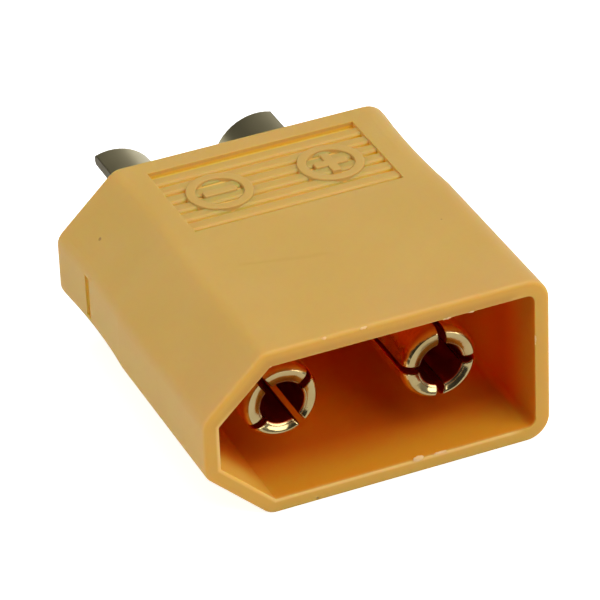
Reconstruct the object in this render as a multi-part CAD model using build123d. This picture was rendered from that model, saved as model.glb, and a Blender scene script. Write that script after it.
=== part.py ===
from build123d import *

import os

# Male half of a two-pole DC power connector, in millimetres.
# +X runs across the two contacts, from the chamfered side to the square side.
# +Y runs from the mating rim to the solder cups, and +Z is up.
# The origin is the bottom centre of the whole part.

# Housing: one nylon moulding
housing_width = 16.0
housing_height = 8.1
housing_length = 16.6
key_chamfer_width = 2.85  # X run of the two chamfers that key the mating half
key_chamfer_height = 2.7
key_edge_radius = 0.8
corner_radius = 1.1  # the two corners of the square side
rim_edge_radius = 0.18
rear_edge_chamfer = 0.12

# Shroud around the pins
shroud_wall = 0.7
cavity_depth = 9.8

# Ribbed recess, one on each broad face
recess_length = 9.9  # along X
recess_depth = 0.3
recess_rear_margin = 1.05
recess_side_margin = 1.2  # from the chamfer's edge
recess_end_gap = 0.37  # to the first rib
rib_count = 6
rib_pitch = 0.824
rib_width = 0.58
rib_crest_depth = 0.1  # below the face around the recess
rib_edge_chamfer = 0.08

# Shallow finger waist and a slot on each narrow side
waist_depth = 0.14
waist_length = 6.8
waist_rear_margin = 0.4
side_slot_width = 0.45
side_slot_height = 2.1
side_slot_depth = 0.45
side_slot_rear_margin = 3.2

# Contacts: one turned, slotted and plated bullet for each pole
contact_spacing = 7.2
pin_diameter = 3.5
pin_bore_diameter = 2.0
pin_bore_depth = 7.6
nose_radius = 0.52
bore_lip_chamfer = 0.1
nose_setback_positive = 1.5  # from the rim to the tip
nose_setback_negative = 1.9
slot_count = 4
slot_width = 0.3
slot_length = 7.0
slot_edge_chamfer = 0.05
roll_positive = 48.0  # degrees about the contact's own axis, from slots on the diagonals
roll_negative = 10.0

# Pilot and shank in the bulkhead, and the solder cup at the contact's rear
pilot_diameter = 3.9
pilot_length = 1.2  # from the cavity floor back to the shoulder's seat
shank_diameter = 4.5
groove_diameter = 4.0
groove_setback = 1.6  # from the shoulder
groove_width = 1.0
cup_diameter = 3.6
cup_depth = 5.6
cup_overhang = 4.6  # past the housing's rear face
cup_notch_length = 3.4
cup_notch_offset = 0.7  # from the cup's axis to the notch's flat
cup_edge_chamfer = 0.12
drill_point_ratio = 0.3  # height of a drilled hole's cone over its radius
seat_clearance = 0.02  # radial, between the contact and its seat

# Places worked out from the sizes above
total_length = housing_length + cup_overhang
front_y = -total_length / 2
cavity_floor_y = front_y + cavity_depth
seat_y = cavity_floor_y + pilot_length
rear_y = front_y + housing_length
side_x = housing_width / 2
axis_z = housing_height / 2
contact_x = contact_spacing / 2
cup_end = total_length / 2 - seat_y  # measured back from the seat
cutter_margin = 1.0  # how far a cutting tool runs past the surface it enters


def housingOutline():
    """Front view of the housing: chamfered on the left, rounded square on the right."""
    flat_edge_x = -side_x + key_chamfer_width
    with BuildSketch(Plane.XZ) as outline:
        with BuildLine():
            Polyline(
                (flat_edge_x, 0),
                (side_x, 0),
                (side_x, housing_height),
                (flat_edge_x, housing_height),
                (-side_x, housing_height - key_chamfer_height),
                (-side_x, key_chamfer_height),
                close=True,
            )
        make_face()
        fillet(outline.vertices().group_by(Axis.X)[-1], corner_radius)
        keyed_corners = outline.vertices().filter_by(lambda v: v.X < contact_x)
        fillet(keyed_corners, key_edge_radius)
    return outline.sketch


def alongY(sketch, start, length):
    """Solid that carries a front-view sketch from start back along +Y."""
    return Pos(0, start, 0) * extrude(sketch, amount=length, dir=(0, 1, 0))


def shroudCavity(outline):
    """Pocket for the mating half, one wall inside the outline."""
    inner = offset(outline, amount=-shroud_wall)
    return alongY(inner, front_y - cutter_margin, cavity_depth + cutter_margin)


def ribbedRecess():
    """What is removed from a broad face: a shallow tray less its ribs, top at z = 0."""
    recess_width = (rib_count - 1) * rib_pitch + rib_width + 2 * recess_end_gap
    centre_x = -side_x + key_chamfer_width + recess_side_margin + recess_length / 2
    centre_y = rear_y - recess_rear_margin - recess_width / 2
    tray = Box(
        recess_length,
        recess_width,
        recess_depth + cutter_margin,
        align=(Align.CENTER, Align.CENTER, Align.MIN),
    )
    rib = Box(
        recess_length,
        rib_width,
        recess_depth,
        align=(Align.CENTER, Align.CENTER, Align.MAX),
    )
    crest_edges = rib.edges().group_by(Axis.Z)[-1].filter_by(Axis.X)
    rib = Pos(0, 0, -rib_crest_depth) * chamfer(crest_edges, rib_edge_chamfer)
    tray = Pos(0, 0, -recess_depth) * tray
    for one in GridLocations(0, rib_pitch, 1, rib_count) * rib:
        tray -= one
    return Pos(centre_x, centre_y, 0) * tray


def sideWaist(outline, side):
    """Ring that presses a shallow waist into a narrow side and the edges beside it."""
    half_chord = waist_length / 2
    waist_radius = (half_chord**2 + waist_depth**2) / (2 * waist_depth)
    centre_y = rear_y - waist_rear_margin - half_chord
    beyond_side = Rectangle(
        side_x - contact_x + cutter_margin,
        housing_height + 2 * cutter_margin,
        align=(Align.MIN, Align.CENTER),
    )
    beyond_side = Plane.XZ * Pos(contact_x, axis_z) * beyond_side
    if side < 0:
        beyond_side = mirror(beyond_side, Plane.YZ)
    beyond_side = Pos(-side * waist_depth, centre_y, 0) * (beyond_side - outline)
    axis_x = side * (side_x - waist_depth + waist_radius)
    return revolve(beyond_side, Axis((axis_x, centre_y, 0), (0, 0, 1)))


def sideSlot(side):
    """Narrow upright slot in a narrow side."""
    slot = Box(2 * side_slot_depth, side_slot_width, side_slot_height)
    return Pos(side * side_x, rear_y - side_slot_rear_margin, axis_z) * slot


def shankSteps(clearance):
    """Outside of the pilot and the shank, as (radius, distance behind the seat)."""
    pilot_radius = pilot_diameter / 2 + clearance
    shank_radius = shank_diameter / 2 + clearance
    groove_radius = groove_diameter / 2 + clearance
    groove_front = groove_setback + clearance
    groove_back = groove_setback + groove_width - clearance
    return [
        (pilot_radius, -pilot_length),
        (pilot_radius, 0),
        (shank_radius, 0),
        (shank_radius, groove_front),
        (groove_radius, groove_front),
        (groove_radius, groove_back),
        (shank_radius, groove_back),
        (shank_radius, cup_end),
    ]


def turned(points):
    """Solid of revolution about Y from (radius, y) points."""
    with BuildSketch() as section:
        with BuildLine():
            Polyline(*points, close=True)
        make_face()
    return revolve(section.sketch, Axis.Y)


def contactSeat():
    """Stepped hole through the bulkhead, with a ridge that fills the shank's groove."""
    return turned([(0, -pilot_length), *shankSteps(seat_clearance), (0, cup_end)])


def housing():
    outline = housingOutline()
    body = alongY(outline, front_y, housing_length)
    body = fillet(body.edges().group_by(Axis.Y)[0], rim_edge_radius)
    body = chamfer(body.edges().group_by(Axis.Y)[-1], rear_edge_chamfer)
    body -= shroudCavity(outline)
    recess = ribbedRecess()
    body -= Pos(0, 0, housing_height) * recess
    body -= mirror(recess, Plane.XY)
    for side in (-1, 1):
        body -= sideWaist(outline, side)
        body -= sideSlot(side)
        body -= Pos(side * contact_x, seat_y, axis_z) * contactSeat()
    return body


def slotEdges(body):
    """Edges where the slots' side walls meet the bullet's bore, nose and outside."""
    walls = body.faces().filter_by(GeomType.PLANE).filter_by(lambda face: abs(face.normal_at().Y) < 0.5)
    edges = ShapeList(edge for wall in walls for edge in wall.edges())
    slot_ends = edges.filter_by(GeomType.LINE).filter_by(lambda edge: abs(edge.tangent_at(0).Y) < 0.5)
    return ShapeList(edge for edge in edges if edge not in slot_ends)


def contact(side, nose_setback, roll):
    """Slotted bullet and solder cup; side is +1 for the square side and -1 for the other."""
    pin_radius = pin_diameter / 2
    bore_radius = pin_bore_diameter / 2
    cup_radius = cup_diameter / 2
    tip = front_y + nose_setback - seat_y
    bore_floor = tip + pin_bore_depth
    cup_floor = cup_end - cup_depth
    with BuildSketch() as section:
        with BuildLine():
            Polyline(
                (0, bore_floor + bore_radius * drill_point_ratio),
                (bore_radius, bore_floor),
                (bore_radius, tip),
                (pin_radius, tip),
                (pin_radius, -pilot_length),
                *shankSteps(0),
                (cup_radius, cup_end),
                (cup_radius, cup_floor),
                (0, cup_floor - cup_radius * drill_point_ratio),
                close=True,
            )
        make_face()
        fillet(section.vertices().group_by(Axis.Y)[0].sort_by(Axis.X)[-1], nose_radius)
        chamfer(section.vertices().group_by(Axis.Y)[0].sort_by(Axis.X)[0], bore_lip_chamfer)
        chamfer(section.vertices().group_by(Axis.Y)[-1], cup_edge_chamfer)
    body = revolve(section.sketch, Axis.Y)
    slot = Pos(0, tip, 0) * Box(
        slot_width,
        2 * slot_length,
        pin_radius + cutter_margin,
        align=(Align.CENTER, Align.CENTER, Align.MIN),
    )
    for turn in range(slot_count):
        body -= Rotation(0, (turn + 0.5) * 360 / slot_count, 0) * slot
    body = Rotation(0, roll, 0) * chamfer(slotEdges(body), slot_edge_chamfer)
    notch = Box(
        shank_diameter,
        2 * cup_notch_length,
        shank_diameter + cutter_margin,
        align=(Align.MIN, Align.CENTER, Align.CENTER),
    )
    notch = Pos(cup_notch_offset, cup_end, 0) * notch
    if side < 0:
        notch = mirror(notch, Plane.YZ)
    return Pos(side * contact_x, seat_y, axis_z) * (body - notch)


nodes = {
    "housing": housing(),
    "contact_positive": contact(1, nose_setback_positive, roll_positive),
    "contact_negative": contact(-1, nose_setback_negative, roll_negative),
}

os.makedirs("parts", exist_ok=True)
for name, shape in nodes.items():
    export_step(shape, f"parts/{name}.step")
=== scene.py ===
import math

import bpy
from mathutils import Matrix, Vector


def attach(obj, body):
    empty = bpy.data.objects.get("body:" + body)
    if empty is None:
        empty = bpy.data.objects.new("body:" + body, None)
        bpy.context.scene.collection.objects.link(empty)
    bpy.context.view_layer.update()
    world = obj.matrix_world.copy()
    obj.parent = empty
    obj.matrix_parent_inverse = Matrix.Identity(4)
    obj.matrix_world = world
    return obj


# Looks of the male half of a two-pole power connector.
# Blender works in metres, and the sizes and places below are in mm.
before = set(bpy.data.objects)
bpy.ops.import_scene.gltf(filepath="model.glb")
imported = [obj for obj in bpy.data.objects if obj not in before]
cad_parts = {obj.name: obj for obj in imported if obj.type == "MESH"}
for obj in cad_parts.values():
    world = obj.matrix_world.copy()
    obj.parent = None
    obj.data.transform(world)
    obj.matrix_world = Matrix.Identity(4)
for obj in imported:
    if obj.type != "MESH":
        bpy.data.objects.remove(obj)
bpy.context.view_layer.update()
mm = 0.001

# Camera first, at the photograph's angle
cameraSet = {
    "target": (0.050, -2.285, 4.484),
    "distance": 195.71,
    "heading": 22.651,  # degrees that it looks from +Y towards +X
    "elevation": 32.616,
    "roll": -2.4,
    "lens": 270.9,
    "sensor": 36.0,
    "nearest": 10,  # what lies nearer isn't drawn
}


def addCamera(choice):
    turn = (
        Matrix.Rotation(math.radians(-choice["heading"]), 4, "Z")
        @ Matrix.Rotation(math.radians(90 - choice["elevation"]), 4, "X")
        @ Matrix.Rotation(math.radians(choice["roll"]), 4, "Z")
    )
    place = Vector(choice["target"]) + turn @ Vector((0, 0, choice["distance"]))
    bpy.ops.object.camera_add(location=place * mm, rotation=turn.to_euler())
    camera = bpy.context.object
    camera.data.lens = choice["lens"]
    camera.data.sensor_width = choice["sensor"]
    camera.data.clip_start = choice["nearest"] * mm
    bpy.context.scene.camera = camera
    print("camera stands at", [round(value, 2) for value in place])


addCamera(cameraSet)


# Shader maths in plain Python: an expression on wires adds its own Math nodes
class Wire:
    def __init__(self, tree, socket):
        self.tree = tree
        self.socket = socket

    def maths(self, operation, *values):
        node = self.tree.nodes.new("ShaderNodeMath")
        node.operation = operation
        for slot, value in zip(node.inputs, values):
            connect(self.tree, slot, value)
        return Wire(self.tree, node.outputs[0])

    def __add__(self, other):
        return self.maths("ADD", self, other)

    def __radd__(self, other):
        return self.maths("ADD", other, self)

    def __sub__(self, other):
        return self.maths("SUBTRACT", self, other)

    def __rsub__(self, other):
        return self.maths("SUBTRACT", other, self)

    def __mul__(self, other):
        return self.maths("MULTIPLY", self, other)

    def __rmul__(self, other):
        return self.maths("MULTIPLY", other, self)

    def __truediv__(self, other):
        return self.maths("DIVIDE", self, other)

    def __abs__(self):
        return self.maths("ABSOLUTE", self)

    def least(self, other):
        return self.maths("MINIMUM", self, other)

    def most(self, other):
        return self.maths("MAXIMUM", self, other)

    def swing(self, reach):  # a noise from 0 to 1, made to swing around 0
        return (self - 0.5) * reach


def connect(tree, slot, value):
    if isinstance(value, Wire):
        tree.links.new(value.socket, slot)
    else:
        slot.default_value = value


# One material or world, built node by node
class Finish:
    def __init__(self, owner):
        owner.use_nodes = True
        self.tree = owner.node_tree
        self.tree.nodes.clear()

    def node(self, kind, settings=None, inputs=None, output=0):
        made = self.tree.nodes.new("ShaderNode" + kind)
        for name, value in (settings or {}).items():
            setattr(made, name, value)
        for name, value in (inputs or {}).items():
            connect(self.tree, made.inputs[name], value)
        return Wire(self.tree, made.outputs[output]) if made.outputs else made

    def place(self):  # Object coordinates in mm
        where = self.node("TexCoord", output="Object")
        return self.node("VectorMath", {"operation": "SCALE"}, {0: where, "Scale": 1 / mm})

    def split(self, vector):
        return [self.node("SeparateXYZ", inputs={0: vector}, output=axis) for axis in "XYZ"]

    def join(self, x, y, z):
        return self.node("CombineXYZ", inputs={"X": x, "Y": y, "Z": z})

    def ramp(self, value, start, end):  # 0 before start, 1 after end, smooth between
        settings = {"interpolation_type": "SMOOTHSTEP"}
        return self.node("MapRange", settings, {"Value": value, "From Min": start, "From Max": end})

    def noise(self, vector, size, detail):  # size of its blotches in mm
        inputs = {"Vector": vector, "Scale": 1 / size, "Detail": detail}
        return self.node("TexNoise", inputs=inputs, output="Fac")

    def layers(self, colour, tones, masks):  # each mask lays the tone of its name over what is below
        for name, mask in masks.items():
            colour = self.node("Mix", {"data_type": "RGBA"}, {0: mask, 6: colour, 7: tones[name]}, 2)
        return colour

    def softened(self, radius, samples):  # normals that round the edges, radius in mm
        return self.node("Bevel", {"samples": samples}, {"Radius": radius * mm})

    def bump(self, height, distance, normal):  # distance in mm, for a height of 1
        inputs = {"Height": height, "Distance": distance * mm, "Strength": 1.0, "Normal": normal}
        return self.node("Bump", inputs=inputs)


def tone(red, green, blue):  # a colour as seen on a screen, 0 to 255, made linear
    parts = [value / 255 for value in (red, green, blue)]
    linear = [part / 12.92 if part <= 0.04045 else ((part + 0.055) / 1.055) ** 2.4 for part in parts]
    return (*linear, 1)


# Outer form of the moulding, for patterns that follow how deep a point lies
form = {
    "halfWidth": 8.0,
    "axisZ": 4.05,
    "frontY": -10.6,
    "cavityFloorY": -0.8,
    "rearY": 6.0,
    "keyRun": 2.85,
    "keyRise": 2.7,
    "contactX": 3.6,
}


def faceDepths(x, z):  # mm in from a broad face, a narrow side and a chamfer, seen from the front
    slope = math.hypot(form["keyRun"], form["keyRise"])
    rise = abs(z - form["axisZ"])
    flat = form["axisZ"] - form["keyRise"]
    key = ((x + form["halfWidth"]) * form["keyRise"] - (rise - flat) * form["keyRun"]) / slope
    return form["axisZ"] - rise, form["halfWidth"] - abs(x), key


# A pair is a noise's size and detail, or a zone: where it starts and where it is full
nylonLook = {
    "amber": tone(204, 165, 85),
    "pale": tone(207, 170, 94),
    "rosy": tone(202, 160, 93),
    # painted light: this orange and the recess end's tone below are the orange that light turns inside
    # the recess, painted into the colour
    "paintedRecessLight": tone(230, 194, 96),
    "paintedRecessEndLight": tone(224, 182, 58),
    # painted light: the inside of the side slot is painted paler than the amber, lifting its shade
    "slot": tone(230, 200, 104),
    # painted shade and highlight: these rim tones stand for how light falls on the rim's face and edges
    "rimFaceShade": tone(201, 158, 68),
    "rimTopShade": tone(184, 142, 64),
    "rimLowHighlight": tone(222, 182, 108),
    "flow": tone(190, 150, 66),
    # painted light and shade: the seven tones from here on are the shroud's inside, red from the light
    # it holds, lighter where lamp light falls on the lower key
    "deep": tone(212, 142, 30),
    "paintedLowKeyLight": tone(228, 180, 78),
    "paintedDeeperRed": tone(206, 96, 8),
    "paintedWallNear": tone(200, 114, 14),
    "paintedWallFar": tone(228, 104, 4),
    "paintedDeepestRed": tone(255, 128, 0),
    "paintedWallDeep": tone(236, 158, 10),
    "roughness": 0.5,
    "grainRough": 0.12,
    "cloudRough": 0.1,
    "specular": 0.26,
    "subsurface": 0.7,
    "subsurfaceReach": 1.3,
    "subsurfaceTint": (1.0, 0.32, 0.08),
    "softEdge": 0.05,
    "softSamples": 6,
    "grain": (0.16, 4.0),
    "grainHeight": 0.006,
    "wave": (5.0, 1.0),
    "waveHeight": 0.03,
    "cloud": (3.2, 3.0),
    "cloudZone": (0.35, 0.7),
    "cloudShare": 0.5,
    "drift": (9.0, 1.0),
    "driftZone": (0.45, 0.7),
    "driftShare": 0.4,
    "recessShare": 0.8,
    "lowKeyShare": 0.75,
    # zones by depth from the nearest outer face
    "sunkStart": (0.12, 0.28),
    "sunkEnd": (0.5, 0.7),
    "rimTopInner": (0.2, 0.6),
    "rimLowInner": (0.52, 0.64),
    "insideStart": (0.5, 0.65),
    # by distance behind the rim
    "rimDepth": (0.01, 0.1),
    "lip": (0.0, 0.2),
    "wallFarZone": (0.6, 2.8),
    "lowKeyEnd": (0.6, 3.0),
    "deeperZone": (0.6, 3.4),
    "deepestZone": (3.0, 6.4),
    # by distance above or below the axis
    "broadFace": (3.6, 3.7),
    "slotHalf": (1.06, 1.16),
    # by x
    "endRight": (5.3, 5.85),
    "recessRight": (6.0, 6.2),
    "rimRight": (6.0, 6.8),
    "lowKeyRight": (-6.0, -4.4),
    "rightWall": (6.9, 7.2),
    # by y
    "sunkFront": (-1.2, -0.8),
    "sunkRear": (5.2, 5.4),
    "endRear": (4.75, 4.93),
    "insideRear": (5.5, 5.8),
    # by z
    "rimUpper": (4.5, 6.5),
    "lowKeyTop": (2.6, 3.4),
}

# Small marks that moulding left: a faint flow line on the top, and dark specks
flowLine = {
    "start": (-3.7, -3.75),
    "end": (0.8, -4.9),
    "width": 0.26,
    "fade": 0.9,  # length of its faint ends
    "warp": 1.4,
    "share": 0.3,
    "topFace": (8.0, 8.08),
}
speckSet = {
    "specks": [  # place, radius
        ((-6.855, 3.496, 6.362), 0.12),
        ((-3.0, -10.6, 0.175), 0.1),
        ((5.9, -4.4, 8.1), 0.05),
    ],
    "core": 0.3,  # share of the radius that is dark all over
    "colour": tone(142, 98, 40),
    "roughness": 0.6,
    "cover": 0.6,
    "dip": 6,  # in grain heights
}


def flowMask(look, x, y, z, warp, choice):
    run = Vector(choice["end"]) - Vector(choice["start"])
    way = run.normalized()
    fromX = x - choice["start"][0]
    fromY = y - choice["start"][1]
    along = fromX * way.x + fromY * way.y
    aside = abs(fromY * way.x - fromX * way.y + warp.swing(choice["warp"]))
    lastPart = run.length - choice["fade"], run.length
    ends = look.ramp(along, 0.0, choice["fade"]) * (1 - look.ramp(along, *lastPart))
    return (1 - look.ramp(aside, 0.0, choice["width"])) * ends * look.ramp(z, *choice["topFace"])


def speckMask(look, where, warp, choice):
    mask = 0.0
    for place, radius in choice["specks"]:
        away = look.node("VectorMath", {"operation": "DISTANCE"}, {0: where, 1: place}, "Value")
        mask = mask + (1 - look.ramp(away + warp.swing(radius), radius * choice["core"], radius))
    return mask


def nylonMaterial(name, choice):
    material = bpy.data.materials.new(name)
    look = Finish(material)
    where = look.place()
    x, y, z = look.split(where)
    broad, narrow, key = faceDepths(x, z)
    depth = broad.least(narrow).least(key)
    behindRim = y - form["frontY"]
    offAxis = abs(z - form["axisZ"])
    cloud = look.noise(where, *choice["cloud"])
    drift = look.noise(where, *choice["drift"])
    fine = look.noise(where, *choice["grain"])

    # painted light: the orange that light turns as it comes through the thin ribs is painted into the
    # recess, deeper still on its rear wall and right end
    sunk = look.ramp(depth, *choice["sunkStart"]) * (1 - look.ramp(depth, *choice["sunkEnd"]))
    sunk = sunk * look.ramp(y, *choice["sunkFront"]) * (1 - look.ramp(y, *choice["sunkRear"]))
    recess = sunk * look.ramp(offAxis, *choice["broadFace"])
    recess = recess * (1 - look.ramp(x, *choice["recessRight"]))
    paintedRecessEndLight = look.ramp(y, *choice["endRear"]).most(look.ramp(x, *choice["endRight"]))

    # painted shade and highlight: the rim's face is painted a deeper tone, with painted shade darker
    # along its top and a painted highlight paler at its lower inner edge
    rim = 1 - look.ramp(behindRim, *choice["rimDepth"])
    leftSide = 1 - look.ramp(x, *choice["rimRight"])
    upper = look.ramp(z, *choice["rimUpper"]) * leftSide
    lower = (1 - upper) * leftSide

    # painted light and shade: inside the shroud the colour deepens towards the bulkhead, painted as the
    # red light that the nylon holds there; the lower key's inner face near the lip is painted lighter,
    # as lamp light falls on it, and the right wall gets painted tones of its own
    inside = look.ramp(depth, *choice["insideStart"]) * (1 - look.ramp(y, *choice["insideRear"]))
    lip = look.ramp(behindRim, *choice["lip"])
    paintedLowKeyLight = (1 - look.ramp(x, *choice["lowKeyRight"])) * (1 - look.ramp(z, *choice["lowKeyTop"]))
    paintedLowKeyLight = paintedLowKeyLight * (1 - look.ramp(behindRim, *choice["lowKeyEnd"]))
    wall = inside * look.ramp(x, *choice["rightWall"])
    deepest = look.ramp(behindRim, *choice["deepestZone"])

    masks = {
        "pale": look.ramp(cloud, *choice["cloudZone"]) * choice["cloudShare"],
        "rosy": look.ramp(drift, *choice["driftZone"]) * choice["driftShare"],
        # painted light in the recess
        "paintedRecessLight": recess * choice["recessShare"],
        "paintedRecessEndLight": recess * paintedRecessEndLight,
        # painted light inside the side slot
        "slot": sunk * (1 - look.ramp(offAxis, *choice["slotHalf"])),
        # painted shade and highlight on the rim
        "rimFaceShade": rim,
        "rimTopShade": rim * look.ramp(depth, *choice["rimTopInner"]) * upper,
        "rimLowHighlight": rim * look.ramp(depth, *choice["rimLowInner"]) * lower,
        "flow": flowMask(look, x, y, z, cloud, flowLine) * flowLine["share"],
        # painted light and shade inside the shroud
        "deep": inside * lip,
        "paintedLowKeyLight": inside * paintedLowKeyLight * choice["lowKeyShare"],
        "paintedDeeperRed": inside * (1 - paintedLowKeyLight) * look.ramp(behindRim, *choice["deeperZone"]),
        "paintedWallNear": wall * lip,
        "paintedWallFar": wall * look.ramp(behindRim, *choice["wallFarZone"]),
        "paintedDeepestRed": inside * deepest,
        "paintedWallDeep": wall * deepest,
    }
    specked = speckMask(look, where, fine, speckSet)
    rounded = look.softened(choice["softEdge"], choice["softSamples"])
    grain = look.bump(fine - specked * speckSet["dip"], choice["grainHeight"], rounded)
    wave = look.bump(look.noise(where, *choice["wave"]), choice["waveHeight"], grain)
    rough = choice["roughness"] + fine.swing(choice["grainRough"]) + cloud.swing(choice["cloudRough"])
    shader = look.node(
        "BsdfPrincipled",
        {"subsurface_method": "RANDOM_WALK"},
        {
            "Base Color": look.layers(choice["amber"], choice, masks),
            "Roughness": rough,
            "Specular IOR Level": choice["specular"],
            "Subsurface Weight": choice["subsurface"],
            "Subsurface Radius": choice["subsurfaceTint"],
            "Subsurface Scale": choice["subsurfaceReach"] * mm,
            "Normal": wave,
        },
    )
    # a speck lets no light through
    speck = look.node(
        "BsdfPrincipled",
        inputs={"Base Color": speckSet["colour"], "Roughness": speckSet["roughness"], "Normal": wave},
    )
    both = look.node("MixShader", inputs={0: specked * speckSet["cover"], 1: shader, 2: speck})
    look.node("OutputMaterial", inputs={"Surface": both})
    return material


# Pairs as in nylonLook
goldLook = {
    "plate": tone(178, 160, 114),
    "warm": tone(160, 134, 84),
    # the cups are paler and greyer than the plate
    "cupTone": tone(196, 186, 146),
    # painted reflection: the bullet's outer side is warmed, as it mirrors the orange shroud
    "side": tone(240, 206, 128),
    # painted reflection: the dark red light in the bore and slots, painted into the plate's colour
    "bore": tone(196, 56, 22),
    "raw": tone(98, 90, 68),
    "roughness": 0.15,
    "latheRough": 0.08,
    "cloudRough": 0.05,
    "cupRough": 0.16,
    "boreRough": 0.2,
    "sawnRough": 0.2,
    "lathe": (0.05, 2.0),
    "latheHeight": 0.0012,
    "cloud": (1.1, 3.0),
    "warmZone": (0.35, 0.7),
    "warmShare": 0.5,
    "roughZone": (0.5, 0.8),
    "cup": (form["rearY"] - 0.6, form["rearY"] + 0.4),
    "cupShare": 0.85,
    "bulletEnd": (form["cavityFloorY"], form["cavityFloorY"] + 0.8),
    "sideStart": (1.52, 1.66),  # from the contact's axis, as the next one is
    "boreWall": (0.99, 1.06),
    "slotTurn": 45,  # degrees, before the contact's own roll
    "slotHalf": (0.154, 0.17),  # from the slot's middle
    "slotEnd": (-2.0, -1.98),
    "notchOffset": 0.7,
    "notchEdge": (0.01, 0.06),  # from the notch's flat
    "softEdge": 0.1,
    "softSamples": 12,
    "faceSlope": 0.85,  # rise of a finger's end with the radius, between the next two
    "faceStart": 1.1,
    "faceEnd": 1.53,
    "lean": 0.14,
    "bend": (0.9, 0.0),
    "bendHeight": 0.1,
    "dent": (0.3, 1.0),
    "dentHeight": 0.016,
}
contactSet = {  # side that the contact lies on, and its roll in degrees
    "contact_positive": (1, 48),
    "contact_negative": (-1, 10),
}


def goldMaterial(name, side, roll, choice):
    material = bpy.data.materials.new(name)
    look = Finish(material)
    where = look.place()
    x, y, z = look.split(where)
    across = x - side * form["contactX"]
    up = z - form["axisZ"]
    radial = look.join(across, up, 0)
    fromAxis = look.node("VectorMath", {"operation": "LENGTH"}, {0: radial}, "Value")
    turned = look.noise(look.join(fromAxis, y, 0), *choice["lathe"])
    cloud = look.noise(where, *choice["cloud"])
    cup = look.ramp(y, *choice["cup"])
    bullet = 1 - look.ramp(y, *choice["bulletEnd"])

    # painted reflection: the bullet's bore and slots are painted dark red, for the red light that they
    # hold from the shroud, whose red is painted too
    turn = math.radians(choice["slotTurn"] + roll)
    firstSlot = abs(across * math.cos(turn) - up * math.sin(turn))
    secondSlot = abs(across * math.sin(turn) + up * math.cos(turn))
    slotWall = 1 - look.ramp(firstSlot.least(secondSlot), *choice["slotHalf"])
    bore = (1 - look.ramp(fromAxis, *choice["boreWall"])) * bullet
    bore = bore.most(slotWall * (1 - look.ramp(y, *choice["slotEnd"])))

    # the cup's sawn notch is duller
    sawn = cup * (1 - look.ramp(abs(across * side - choice["notchOffset"]), *choice["notchEdge"]))

    masks = {
        "warm": look.ramp(cloud, *choice["warmZone"]) * choice["warmShare"],
        "cupTone": cup * choice["cupShare"],
        # painted reflection of the orange shroud on the bullet's outer side
        "side": bullet * look.ramp(fromAxis, *choice["sideStart"]),
        "bore": bore,
        "raw": sawn,
    }
    rough = choice["roughness"] + turned.swing(choice["latheRough"])
    rough = rough + look.ramp(cloud, *choice["roughZone"]) * choice["cloudRough"]
    rough = rough + cup * choice["cupRough"] + bore * choice["boreRough"] + sawn * choice["sawnRough"]

    # each finger's end slopes into the bore, leans a little to one side, and has small dents
    slope = fromAxis.most(choice["faceStart"]).least(choice["faceEnd"]) * choice["faceSlope"]
    lean = (across - up) * choice["lean"]
    bend = look.noise(where, *choice["bend"]) * choice["bendHeight"]
    dent = look.noise(where, *choice["dent"]) * choice["dentHeight"]
    rounded = look.softened(choice["softEdge"], choice["softSamples"])
    dents = look.bump((slope + lean + bend + dent) * bullet, 1, rounded)
    lines = look.bump(turned, choice["latheHeight"], dents)
    shader = look.node(
        "BsdfPrincipled",
        inputs={
            "Base Color": look.layers(choice["plate"], choice, masks),
            "Roughness": rough,
            "Metallic": 1.0,
            "Normal": lines,
        },
    )
    look.node("OutputMaterial", inputs={"Surface": shader})
    return material


def giveMaterial(piece, material):
    for slot in piece.material_slots:
        slot.material = material
    if not piece.material_slots:
        piece.data.materials.append(material)


giveMaterial(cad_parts["housing"], nylonMaterial("amberNylon", nylonLook))
for nodeName, (side, roll) in contactSet.items():
    giveMaterial(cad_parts[nodeName], goldMaterial("goldPlate_" + nodeName, side, roll, goldLook))
print("materials given to the packed nodes")


def deselectAll():
    if bpy.context.object and bpy.context.object.mode != "OBJECT":
        bpy.ops.object.mode_set(mode="OBJECT")
    bpy.ops.object.select_all(action="DESELECT")


def pick(piece, kind, wanted):  # leaves edit mode on, with the wanted points, edges or faces selected
    bpy.ops.object.mode_set(mode="EDIT")
    bpy.ops.mesh.select_mode(type=kind)
    bpy.ops.mesh.select_all(action="DESELECT")
    bpy.ops.object.mode_set(mode="OBJECT")
    parts = {"VERT": piece.data.vertices, "EDGE": piece.data.edges, "FACE": piece.data.polygons}
    for part in parts[kind]:
        part.select = wanted(part)
    bpy.ops.object.mode_set(mode="EDIT")


def settle(piece):  # the object at the origin, its place in its mesh
    deselectAll()
    piece.select_set(True)
    bpy.context.view_layer.objects.active = piece
    bpy.ops.object.transform_apply(location=True, rotation=True, scale=True)


def applyModifier(piece, name, kind, **settings):
    modifier = piece.modifiers.new(name, kind)
    for setting, value in settings.items():
        setattr(modifier, setting, value)
    bpy.context.view_layer.objects.active = piece
    bpy.ops.object.modifier_apply(modifier=modifier.name)


def joinPieces(pieces):  # into the first one
    deselectAll()
    for piece in pieces:
        piece.select_set(True)
    bpy.context.view_layer.objects.active = pieces[0]
    bpy.ops.object.join()
    return pieces[0]


def finishPiece(piece, name, material):
    piece.name = name
    piece.data.name = name
    giveMaterial(piece, material)
    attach(piece, "root")


# Small added pieces lie on the moulding, so little light passes through them
# the painted orange light in the recess is paler on these pieces
thinLook = {**nylonLook, "paintedRecessLight": tone(248, 198, 98), "subsurface": 0.3, "subsurfaceReach": 0.12}
markNylon = nylonMaterial("markNylon", thinLook)


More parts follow.
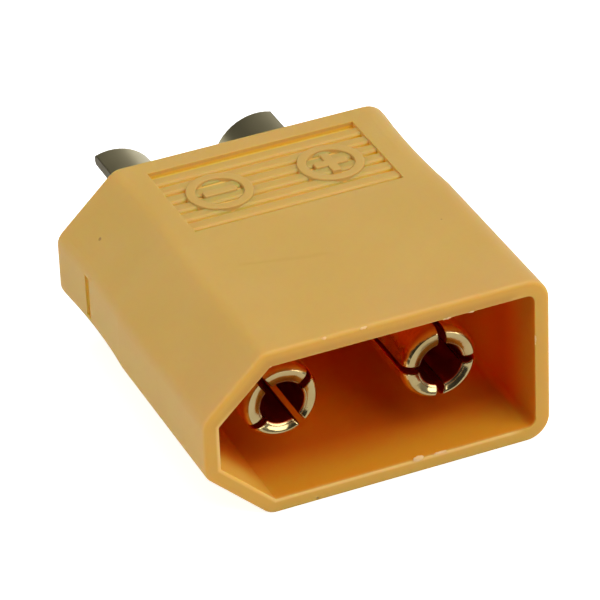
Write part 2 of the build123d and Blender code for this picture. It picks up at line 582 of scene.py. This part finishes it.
# Raised plus and minus in the top panel, each in a ring, one for each pole
markLook = {
    "top": 8.1,
    "bottom": 7.79,
    "stroke": 0.42,
    "reach": 0.76,  # from the middle to an arm's end
    "hub": 0.55,  # an arm starts from the faces within this many strokes of the middle
    "facing": 0.9,  # cosine that such a face's normal reaches
    "ringReach": 1.5,
    "ringSides": 72,
    "pad": 7.87,  # top of the plain pad inside the ring
    "round": 0.13,
    "roundSteps": 4,
    "sharpAngle": 40,
    "y": 2.2,
    "plusX": 3.65,
    "minusX": -1.65,
}


def addRing(x, choice):
    deselectAll()
    bpy.ops.mesh.primitive_circle_add(
        vertices=choice["ringSides"],
        radius=choice["ringReach"] * mm,
        fill_type="NGON",
        location=Vector((x, choice["y"], choice["bottom"])) * mm,
    )
    ring = bpy.context.object
    settle(ring)
    height = choice["top"] - choice["bottom"]
    bpy.ops.object.mode_set(mode="EDIT")
    bpy.ops.mesh.select_mode(type="FACE")
    bpy.ops.mesh.select_all(action="SELECT")
    bpy.ops.mesh.inset(thickness=choice["stroke"] * mm)
    bpy.ops.mesh.delete(type="FACE")
    bpy.ops.mesh.select_all(action="SELECT")
    bpy.ops.mesh.extrude_region_move(TRANSFORM_OT_translate={"value": (0, 0, height * mm)})
    bpy.ops.mesh.select_all(action="SELECT")
    bpy.ops.mesh.normals_make_consistent(inside=False)
    bpy.ops.object.mode_set(mode="OBJECT")
    return ring


def addPad(x, choice):
    deselectAll()
    height = choice["pad"] - choice["bottom"]
    bpy.ops.mesh.primitive_cylinder_add(
        vertices=choice["ringSides"],
        radius=(choice["ringReach"] - choice["stroke"] / 2) * mm,
        depth=height * mm,
        location=Vector((x, choice["y"], choice["bottom"] + height / 2)) * mm,
    )
    pad = bpy.context.object
    settle(pad)
    return pad


def addBars(x, upright, choice):
    deselectAll()
    height = choice["top"] - choice["bottom"]
    size = Vector((choice["stroke"], choice["stroke"], height)) * mm
    place = Vector((x, choice["y"], choice["bottom"] + height / 2)) * mm
    bpy.ops.mesh.primitive_cube_add(size=1, location=place, scale=size)
    bars = bpy.context.object
    settle(bars)
    arms = [(1, 0), (-1, 0)] + ([(0, 1), (0, -1)] if upright else [])
    length = choice["reach"] - choice["stroke"] / 2
    hub = choice["stroke"] * choice["hub"] * mm
    for armX, armY in arms:
        way = Vector((armX, armY, 0))
        pick(
            bars,
            "FACE",
            lambda face: face.normal.dot(way) > choice["facing"] and (face.center - place).length < hub,
        )
        bpy.ops.mesh.extrude_region_move(TRANSFORM_OT_translate={"value": way * length * mm})
        bpy.ops.object.mode_set(mode="OBJECT")
    return bars


def addMark(name, x, upright, choice):
    mark = joinPieces([addRing(x, choice), addPad(x, choice), addBars(x, upright, choice)])
    sharpAngle = math.radians(choice["sharpAngle"])
    applyModifier(
        mark,
        "rounded",
        "BEVEL",
        width=choice["round"] * mm,
        segments=choice["roundSteps"],
        limit_method="ANGLE",
        angle_limit=sharpAngle,
    )
    bpy.ops.object.shade_smooth_by_angle(angle=sharpAngle)
    finishPiece(mark, name, markNylon)


addMark("polarity_plus", markLook["plusX"], True, markLook)
addMark("polarity_minus", markLook["minusX"], False, markLook)
print("polarity marks modelled")


# Flash of the moulding: a thin ragged bead along the rim's upper inner edge, and a few slivers
rimFlash = {
    "radius": 0.02,
    "beadSteps": 1,
    "step": 0.07,  # longest edge along the bead
    "raggedSize": 0.26,
    "raggedHeight": 0.09,
    "merge": 0.002,
    "onRim": 0.005,  # how near to the rim's plane its points lie
    "innerEdge": 0.6,  # least depth of the points on the wall's inner edge
    "lowest": 5.2,
    "rightmost": 6.3,
    "slivers": [  # place, half sizes
        ((1.72, -10.58, 0.74), (0.25, 0.05, 0.13)),
        ((2.74, -10.58, 0.72), (0.29, 0.04, 0.07)),
        ((-0.60, -10.54, 8.02), (0.17, 0.06, 0.06)),
        ((-2.40, -10.54, 8.03), (0.12, 0.05, 0.05)),
        ((3.20, -10.58, 7.39), (0.20, 0.04, 0.05)),
        ((4.33, -10.58, 7.39), (0.14, 0.04, 0.04)),
        ((7.31, -10.58, 5.10), (0.03, 0.04, 0.24)),
    ],
    "sliverGrain": 0.14,
    "sliverRagged": 0.07,
    "sliverRounds": 4,
    # painted highlight: the flash is painted pale, as its thin edges catch light
    "colour": tone(228, 190, 134),
    "recoloured": ("amber", "pale", "rosy", "rimFaceShade", "rimTopShade", "rimLowHighlight", "deep"),
}


def nodeCopy(source, name, merge):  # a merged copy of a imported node, free to be cut
    deselectAll()
    piece = bpy.data.objects.new(name, source.data.copy())
    bpy.context.collection.objects.link(piece)
    piece.select_set(True)
    bpy.context.view_layer.objects.active = piece
    bpy.ops.object.mode_set(mode="EDIT")
    bpy.ops.mesh.select_mode(type="VERT")
    bpy.ops.mesh.select_all(action="SELECT")
    bpy.ops.mesh.remove_doubles(threshold=merge * mm)
    bpy.ops.object.mode_set(mode="OBJECT")
    return piece


def keepPoints(piece, wanted):  # deletes every point that isn't wanted, given in mm
    pick(piece, "VERT", lambda point: not wanted(point.co / mm))
    bpy.ops.mesh.delete(type="VERT")
    bpy.ops.object.mode_set(mode="OBJECT")


def splitLongEdges(piece, step):  # halves edges until none is longer than step, in mm
    def tooLong(edge):
        first, second = (piece.data.vertices[index].co for index in edge.vertices)
        return (first - second).length > step * mm

    while any(tooLong(edge) for edge in piece.data.edges):
        pick(piece, "EDGE", tooLong)
        bpy.ops.mesh.subdivide(number_cuts=1)
        bpy.ops.object.mode_set(mode="OBJECT")


def roughen(piece, size, height):  # uneven surface, in mm
    texture = bpy.data.textures.new(piece.name + "Ragged", "CLOUDS")
    texture.noise_scale = size * mm
    applyModifier(
        piece,
        "ragged",
        "DISPLACE",
        texture=texture,
        texture_coords="LOCAL",
        strength=height * mm,
    )
    bpy.ops.object.shade_smooth()


def beadFrom(piece, choice):  # turns a line of edges into a ragged round bead
    splitLongEdges(piece, choice["step"])
    bpy.ops.object.convert(target="CURVE")
    line = bpy.context.object
    line.data.bevel_depth = choice["radius"] * mm
    line.data.bevel_resolution = choice["beadSteps"]
    line.data.use_fill_caps = True
    bpy.ops.object.convert(target="MESH")
    bead = bpy.context.object
    roughen(bead, choice["raggedSize"], choice["raggedHeight"])
    return bead


def addSliver(place, size, choice):
    deselectAll()
    bpy.ops.mesh.primitive_ico_sphere_add(
        subdivisions=choice["sliverRounds"],
        radius=1,
        location=Vector(place) * mm,
        scale=Vector(size) * mm,
    )
    sliver = bpy.context.object
    settle(sliver)
    roughen(sliver, choice["sliverGrain"], choice["sliverRagged"])
    return sliver


def addRimFlash(choice):
    piece = nodeCopy(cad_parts["housing"], "rimFlash", choice["merge"])
    keepPoints(
        piece,
        lambda point: abs(point.y - form["frontY"]) < choice["onRim"]
        and min(faceDepths(point.x, point.z)) > choice["innerEdge"]
        and point.z > choice["lowest"]
        and point.x < choice["rightmost"],
    )
    bead = beadFrom(piece, choice)
    slivers = [addSliver(place, size, choice) for place, size in choice["slivers"]]
    flash = joinPieces([bead, *slivers])
    pale = dict.fromkeys(choice["recoloured"], choice["colour"])
    finishPiece(flash, "rim_flash", nylonMaterial("paleFlash", {**thinLook, **pale}))


addRimFlash(rimFlash)
print("rim flash modelled")

# Plain pale floor, near white for the camera and lifted a little for what metal shows
plainWhite = (1, 1, 1, 1)
floorLook = {
    "size": 1600,
    "colour": tone(244, 244, 243),
    "roughness": 0.9,
    "specular": 0.0,
    "lift": 0.75,
    "glossLift": 0.1,
}


def mirrored(look):  # 1 for what metal or glass shows
    glossy = look.node("LightPath", output="Is Glossy Ray")
    return glossy.most(look.node("LightPath", output="Is Transmission Ray"))


def addFloor(choice):
    deselectAll()
    bpy.ops.mesh.primitive_plane_add(size=choice["size"] * mm, location=(0, 0, 0))
    floor = bpy.context.object
    floor.name = "floor"
    material = bpy.data.materials.new("paleFloor")
    look = Finish(material)
    seen = look.node("LightPath", output="Is Camera Ray") * choice["lift"]
    seen = seen.most(mirrored(look) * choice["glossLift"])
    shader = look.node(
        "BsdfPrincipled",
        inputs={
            "Base Color": choice["colour"],
            "Roughness": choice["roughness"],
            "Specular IOR Level": choice["specular"],
            "Emission Color": plainWhite,
            "Emission Strength": seen,
        },
    )
    look.node("OutputMaterial", inputs={"Surface": shader})
    giveMaterial(floor, material)


addFloor(floorLook)

# Soft studio light: a plain room with a pale horizon and ceiling, and two large lamps
worldLook = {
    "horizon": 0.95,
    "wall": 0.05,
    "rightWall": 0.4,
    "ceiling": 0.9,
    "background": 1.0,
    "rightZone": (-0.2, 1.0),  # the zones are of a direction's x, y or z
    "ceilingZone": (0.7, 0.92),
    "glowZone": (0.1, 1.0),
    "glowHeight": 0.1,
    "behindZone": (0.1, 0.7),
    "behindHeight": 0.2,  # the glow over the horizon reaches this much higher behind the part
    "darkX": -0.47,  # towards the front left
    "darkY": -0.88,
    "darkZone": (0.9, 0.98),
}
lampSet = {
    "key": {"place": (200, -360, 470), "aimHeight": 4, "size": 480, "power": 2.75},
    "fill": {"place": (-560, -10, 220), "aimHeight": 4, "size": 240, "power": 1.1},
}


def addWorld(choice):
    world = bpy.data.worlds.new("studio")
    bpy.context.scene.world = world
    look = Finish(world)
    x, y, z = look.split(look.node("TexCoord", output="Generated"))
    wall = choice["wall"] + look.ramp(x, *choice["rightZone"]) * (choice["rightWall"] - choice["wall"])
    level = wall + look.ramp(z, *choice["ceilingZone"]) * (choice["ceiling"] - choice["wall"])
    height = choice["glowHeight"] + look.ramp(y, *choice["behindZone"]) * choice["behindHeight"]
    glow = 1 - look.ramp(z / height, *choice["glowZone"])
    dark = look.ramp(x * choice["darkX"] + y * choice["darkY"], *choice["darkZone"])
    backdrop = glow * (1 - dark)
    level = level + backdrop * (choice["horizon"] - choice["wall"])
    room = look.node("Background", inputs={"Color": plainWhite, "Strength": level})
    white = look.node("Background", inputs={"Color": plainWhite, "Strength": choice["background"]})
    seen = look.node("LightPath", output="Is Camera Ray").most(mirrored(look) * backdrop)
    both = look.node("MixShader", inputs={0: seen, 1: room, 2: white})
    look.node("OutputWorld", inputs={"Surface": both})


def addLamp(name, choice):
    place = Vector(choice["place"]) * mm
    towards = (Vector((0, 0, choice["aimHeight"] * mm)) - place).to_track_quat("-Z", "Y")
    bpy.ops.object.light_add(type="AREA", location=place, rotation=towards.to_euler())
    lamp = bpy.context.object
    lamp.name = name
    lamp.data.shape = "SQUARE"
    lamp.data.size = choice["size"] * mm
    lamp.data.energy = choice["power"]


addWorld(worldLook)
for lampName, lampChoice in lampSet.items():
    addLamp(lampName, lampChoice)
bpy.context.scene.view_settings.view_transform = "Standard"
print("floor and light set")
